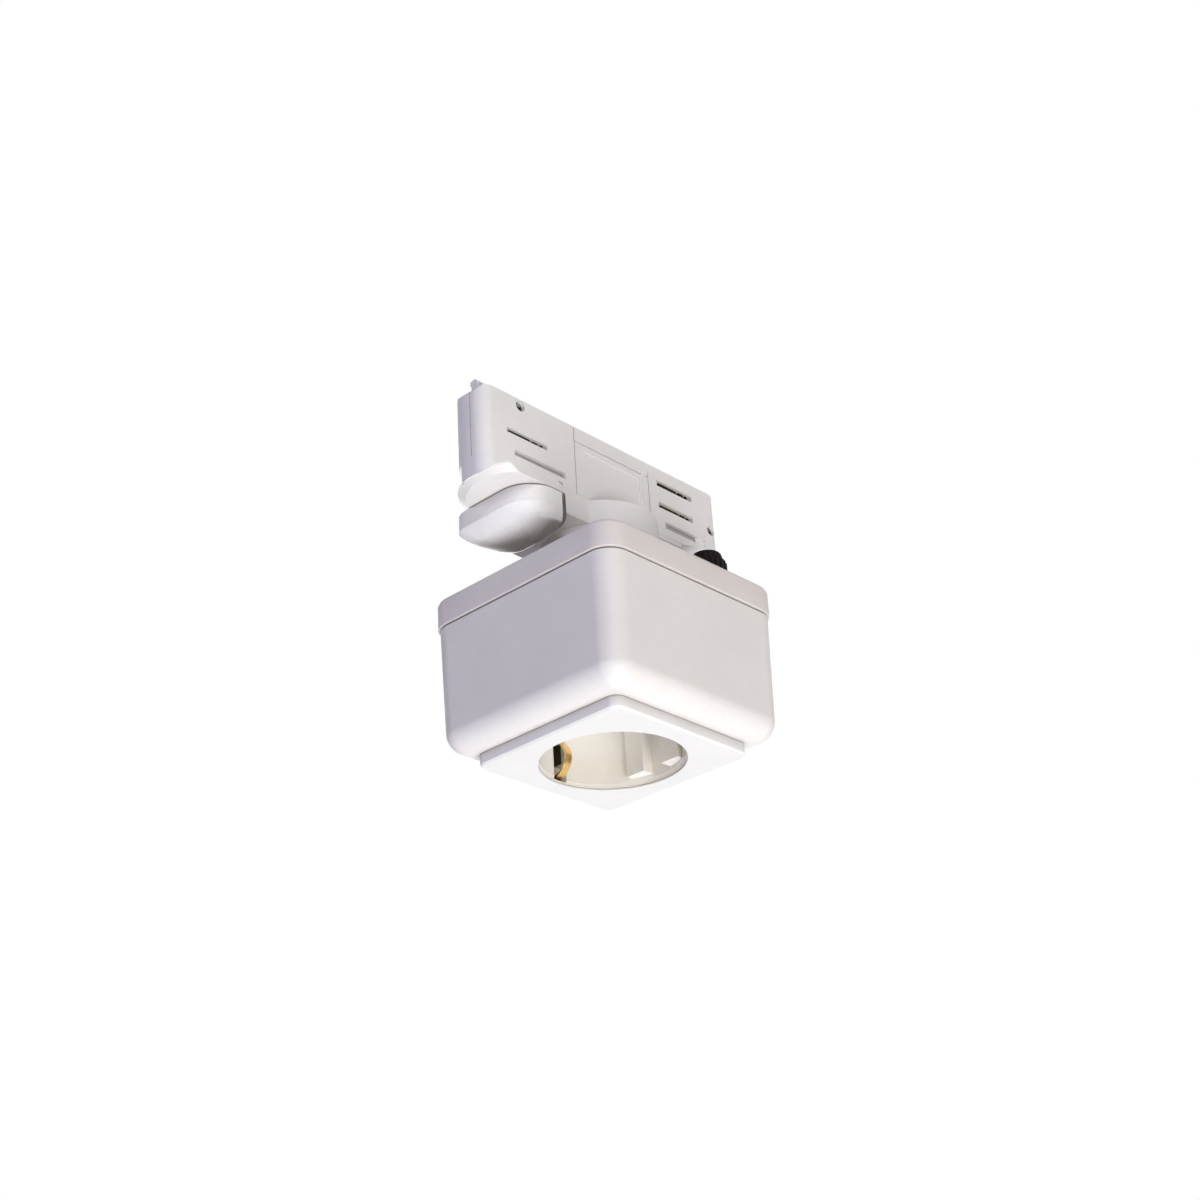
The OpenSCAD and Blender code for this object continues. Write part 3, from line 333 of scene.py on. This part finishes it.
def make_surfaces():
    """One material for each slot that the record names."""
    made = {}

    def add(kind, name, *colours_and_gloss, **options):
        made[name] = kind(name, *colours_and_gloss, **options)

    # Colour of dirt and of painted shade on the white plastics
    white_grime_and_shade = (0.46, 0.43, 0.41)
    # The box and the cover take a wider painted shade along the seam between them
    add(moulded, "box_plastic", (0.805, 0.785, 0.78), white_grime_and_shade, 0.40,
        specks=0.12, speck_colour=(0.52, 0.49, 0.46), cleft_open=0.62, hollow=0.3)
    add(moulded, "cover_plastic", (0.765, 0.725, 0.72), white_grime_and_shade, 0.44, cleft_open=0.62)
    # Strong painted shade on the face plate's side walls
    add(moulded, "face_plastic", (0.825, 0.825, 0.825), white_grime_and_shade, 0.36,
        grain=0.07, hollow=0.85, shine=0.25)
    add(moulded, "cup_plastic", (0.84, 0.82, 0.79), (0.44, 0.41, 0.31), 0.40,
        specks=0.10, speck_colour=(0.45, 0.40, 0.30))
    # Adapter and lever whites sit above the box's: partly own tone, partly painted light
    add(moulded, "adapter_plastic", (0.88, 0.865, 0.875), white_grime_and_shade, 0.40, cleft=0.6)
    # The lever's belly takes a painted shade where it hangs over the box
    add(moulded, "lever_plastic", (0.985, 0.98, 0.98), (0.20, 0.18, 0.17), 0.26,
        grain=0.05, dusk=0.85)
    add(moulded, "inner_plastic", (0.13, 0.125, 0.12), (0.05, 0.05, 0.05), 0.55, grain=0.2)
    add(moulded, "carriage_plastic", (0.43, 0.40, 0.42), (0.18, 0.165, 0.17), 0.5)
    add(moulded, "spindle_plastic", (0.56, 0.55, 0.54), (0.25, 0.24, 0.23), 0.5)
    add(moulded, "black_plastic", (0.006, 0.0035, 0.0042), (0.004, 0.003, 0.004), 0.42,
        grain=0.16, shine=0.10)
    add(metal, "brass", (0.66, 0.53, 0.33), (0.38, 0.27, 0.13), 0.34)
    add(metal, "gilt_strip", (0.80, 0.56, 0.22), (0.42, 0.24, 0.07), 0.24,
        stretch=(6.0, 1.0, 1.0))
    add(metal, "screw_steel", (0.40, 0.39, 0.385), (0.06, 0.055, 0.05), 0.24,
        stretch=(1.0, 1.0, 1.0))
    add(banded_metal, "tube_steel", (0.64, 0.64, 0.62), (0.42, 0.41, 0.38), 0.34)
    add(metal, "fuse_metal", (0.74, 0.74, 0.72), (0.52, 0.52, 0.50), 0.2)
    add(sleeve, "lead_brown", (0.12, 0.05, 0.022))
    add(sleeve, "lead_blue", (0.03, 0.09, 0.30))
    add(sleeve, "lead_green", (0.52, 0.50, 0.03), stripe=(0.05, 0.22, 0.03))
    return made


def finish_edges(obj, width_mm):
    """Joins the imported triangles, rounds the sharp edges a little and evens the shading."""
    for polygon in obj.data.polygons:
        polygon.use_smooth = True
    weld = obj.modifiers.new("weld", "WELD")
    weld.merge_threshold = WELD_GAP_MM * MM
    flat = obj.modifiers.new("flat", "DECIMATE")
    flat.decimate_type = "DISSOLVE"
    flat.angle_limit = FLAT_ANGLE
    bevel = obj.modifiers.new("bevel", "BEVEL")
    bevel.width = width_mm * MM
    bevel.segments = BEVEL_SEGMENTS
    bevel.limit_method = "ANGLE"
    bevel.angle_limit = BEVEL_ANGLE
    bevel.use_clamp_overlap = True
    bevel.harden_normals = True
    obj.modifiers.new("normals", "WEIGHTED_NORMAL").keep_sharp = True


def dress_nodes(surfaces):
    """Each node's material and edges; the sliding contacts have a metal of their own, with
    painted shadow.
    """
    slot_of = {part["node"]: part["material_slot"] for part in frame["record"]["subparts"]}
    for name, obj in frame["nodes"].items():
        obj.data.materials.clear()
        if name in BLADE_SHADOW_Z:
            surface = metal(name, BLADE_COLOUR, BLADE_TARNISH, BLADE_GLOSS,
                            shadowed_below_mm=BLADE_SHADOW_Z[name])
        else:
            surface = surfaces[slot_of[name]]
        obj.data.materials.append(surface)
        finish_edges(obj, BEVEL_WIDTH.get(name, BEVEL_DEFAULT))


def cornered_ring(x_span, y_span, radii, arc_steps=12, side_steps=10):
    """Points round a rectangle with four round corners; rings match point by point."""
    corners = [(x_span[0], y_span[0], 1, 1, 180), (x_span[1], y_span[0], -1, 1, 270),
               (x_span[1], y_span[1], -1, -1, 0), (x_span[0], y_span[1], 1, -1, 90)]
    arcs = []
    for (x, y, to_x, to_y, start), r in zip(corners, radii):
        turns = [math.radians(start + 90 * k / arc_steps) for k in range(arc_steps + 1)]
        arcs.append([Vector((x + r * (to_x + math.cos(a)), y + r * (to_y + math.sin(a))))
                     for a in turns])
    points = []
    for arc, following in zip(arcs, arcs[1:] + arcs[:1]):
        points += arc
        points += [arc[-1].lerp(following[0], k / side_steps) for k in range(1, side_steps)]
    return points


def keel_height(point):
    """Height of the keel's ring over its lowest line."""
    across = (point.x - KEEL_X[0]) / (KEEL_X[1] - KEEL_X[0])
    along = (point.y - KEEL_Y[0]) / (KEEL_Y[1] - KEEL_Y[0])
    near, far = (left + (right - left) * across for left, right in zip(*KEEL_RISE))
    return near * max(0.0, 1 - 2 * along) ** 2 + far * max(0.0, 2 * along - 1) ** 2


def belly_rings(band, keel):
    """Rings from the band's foot down to the keel, each side with its own fullness."""
    profiles = []
    for outer, inner in zip(band, keel):
        way = (outer - inner).normalized()
        share = {"left": max(-way.x, 0) ** 2, "right": max(way.x, 0) ** 2,
                 "near": max(-way.y, 0) ** 2, "far": max(way.y, 0) ** 2}
        start = math.radians(sum(BELLY_START[side] * share[side] for side in share))
        power = 2 / sum(BELLY_POWER[side] * share[side] for side in share)
        profiles.append((start, power))
    rings = []
    for step in range(1, BELLY_RINGS + 1):
        ring = []
        for outer, inner, (start, power) in zip(band, keel, profiles):
            angle = start + (math.pi / 2 - start) * step / BELLY_RINGS
            reach = (max(math.cos(angle), 0.0) / math.cos(start)) ** power
            floor = math.sin(start) ** power
            depth = (math.sin(angle) ** power - floor) / (1 - floor)
            flat = inner + (outer - inner) * reach
            low = KEEL_Z + keel_height(inner)
            ring.append((flat.x, flat.y, BAND_FOOT + (low - BAND_FOOT) * depth))
        rings.append(ring)
    return rings


def build_lever(surface):
    """Lever as one smooth body: pocket, top, band with a soft edge, and the full belly."""
    band = cornered_ring(BAND_X, BAND_Y, BAND_RADII)
    keel = cornered_ring(KEEL_X, KEEL_Y, KEEL_RADII)

    def band_ring(z, inset):
        return [(*(p + (q - p).normalized() * inset), z) for p, q in zip(band, keel)]

    axis = Vector(SPINDLE_AT)
    rim = [axis + (p - axis).normalized() * SPINDLE_R for p in band]
    rings = [[(*p, BAND_TOP - SPINDLE_DEPTH) for p in rim], [(*p, BAND_TOP) for p in rim]]
    rings += [band_ring(BAND_TOP - depth, inset) for depth, inset in TOP_EDGE]
    rings += [band_ring(BAND_FOOT + rise, inset) for rise, inset in FOOT_BEAD]
    rings += belly_rings(band, keel)
    centre = Vector((sum(KEEL_X) / 2, sum(KEEL_Y) / 2))
    for scale in KEEL_SCALES:
        inner = [centre + (p - centre) * scale for p in keel]
        rings.append([(p.x, p.y, KEEL_Z + keel_height(p)) for p in inner])
    mesh = bpy.data.meshes.new("lever_body")
    shape = bmesh.new()
    rows = [[shape.verts.new([v * MM for v in point]) for point in ring] for ring in rings]
    count = len(band)
    for row, lower in zip(rows, rows[1:]):
        for k in range(count):
            shape.faces.new((row[k], row[(k + 1) % count], lower[(k + 1) % count], lower[k]))
    shape.faces.new(rows[0])
    shape.faces.new(rows[-1])
    low = [vert for row in rows[-len(KEEL_SCALES) - BLEND_RINGS:] for vert in row]
    for _ in range(BLEND_PASSES):
        bmesh.ops.smooth_vert(shape, verts=low, factor=BLEND_FACTOR,
                              use_axis_x=True, use_axis_y=True, use_axis_z=True)
    bmesh.ops.recalc_face_normals(shape, faces=shape.faces)
    for face in shape.faces:
        face.smooth = True
    shape.to_mesh(mesh)
    shape.free()
    lever = bpy.data.objects.new("lever_body", mesh)
    bpy.context.scene.collection.objects.link(lever)
    lever.modifiers.new("normals", "WEIGHTED_NORMAL").keep_sharp = True
    mesh.materials.append(surface)
    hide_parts("lever")
    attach(lever, "lever")


def look_at(obj, target):
    obj.rotation_euler = (target - obj.location).to_track_quat("-Z", "Y").to_euler()


def add_lamp(name, at, size, power, colour):
    """Soft rectangular lamp that looks at the object and isn't seen itself."""
    lamp = bpy.data.lights.new(name, "AREA")
    lamp.shape = "RECTANGLE"
    lamp.size, lamp.size_y = size
    lamp.energy = power
    lamp.color = colour
    obj = bpy.data.objects.new(name, lamp)
    obj.location = at
    look_at(obj, STUDIO_AIM)
    obj.visible_camera = False
    bpy.context.scene.collection.objects.link(obj)


def build_world():
    """White background for the camera and reflections, soft fill light for everything else."""
    world = bpy.data.worlds.new("studio")
    world.use_nodes = True
    bpy.context.scene.world = world
    tree = world.node_tree
    tree.nodes.clear()
    fill = new_node(tree, "ShaderNodeBackground", Color=(*FILL_COLOUR, 1.0), Strength=FILL_STRENGTH)
    white = new_node(tree, "ShaderNodeBackground", Color=(1.0, 1.0, 1.0, 1.0),
                     Strength=BACKGROUND_STRENGTH)
    seen = white_rays(tree)
    mix = tree.nodes.new("ShaderNodeMixShader")
    output = tree.nodes.new("ShaderNodeOutputWorld")
    link(tree, seen, mix.inputs[0])
    link(tree, fill.outputs[0], mix.inputs[1])
    link(tree, white.outputs[0], mix.inputs[2])
    link(tree, mix.outputs[0], output.inputs["Surface"])


def white_rays(tree):
    """1 on rays from the camera, or by way of a mirror or glass, and 0 on others."""
    path = tree.nodes.new("ShaderNodeLightPath")
    total = None
    for name in ("Is Camera Ray", "Is Glossy Ray", "Is Transmission Ray"):
        if total is None:
            total = path.outputs[name]
            continue
        peak = tree.nodes.new("ShaderNodeMath")
        peak.operation = "MAXIMUM"
        link(tree, total, peak.inputs[0])
        link(tree, path.outputs[name], peak.inputs[1])
        total = peak.outputs[0]
    return total


def build_floor():
    """Plain pale floor below the object."""
    mesh = bpy.data.meshes.new("floor")
    h = FLOOR_HALF
    corners = [(-h, -h, FLOOR_Z), (h, -h, FLOOR_Z), (h, h, FLOOR_Z), (-h, h, FLOOR_Z)]
    mesh.from_pydata(corners, [], [(0, 1, 2, 3)])
    floor = bpy.data.objects.new("floor", mesh)
    bpy.context.scene.collection.objects.link(floor)
    s = Surface("floor")
    s.bump(s.noise(40), 0.05, 0.5)
    colour = s.mixed(s.span(s.noise(300), 0.3, 0.7), (0.80, 0.80, 0.80), (0.78, 0.78, 0.78))
    s.done(colour, s.span(s.noise(200), 0.3, 0.7, 0.7, 0.8))
    # Pale to the camera and in reflections, without lighting the object's matt surfaces
    s.value("Emission Color", (1.0, 1.0, 1.0, 1.0))
    glow = s.span(white_rays(s.tree), 0.0, 1.0, 0.0, FLOOR_GLOW)
    link(s.tree, glow, s.shader.inputs["Emission Strength"])
    floor.data.materials.append(s.material)


def build_camera():
    """The fitted camera: azimuth, elevation and roll about its line of sight."""
    a, e, roll = CAMERA_AZIMUTH, CAMERA_ELEVATION, CAMERA_ROLL
    back = Vector((math.sin(a) * math.cos(e), -math.cos(a) * math.cos(e), math.sin(e)))
    right = (-back).cross(Vector((0, 0, 1))).normalized()
    up = right.cross(-back)
    right, up = (math.cos(roll) * right + math.sin(roll) * up,
                 -math.sin(roll) * right + math.cos(roll) * up)
    data = bpy.data.cameras.new("camera")
    data.lens = CAMERA_LENS_MM
    data.sensor_width = CAMERA_SENSOR_MM
    data.sensor_fit = "HORIZONTAL"
    data.clip_start = 0.01
    camera = bpy.data.objects.new("camera", data)
    turn = Matrix((right, up, back)).transposed().to_4x4()
    camera.matrix_world = Matrix.Translation(CAMERA_AT) @ turn
    bpy.context.scene.collection.objects.link(camera)
    bpy.context.scene.camera = camera


bpy.context.scene.view_settings.view_transform = "Standard"
build_camera()
build_world()
build_floor()
for lamp_values in LAMPS:
    add_lamp(*lamp_values)
surfaces = make_surfaces()
build_lever(surfaces["lever_plastic"])
dress_nodes(surfaces)
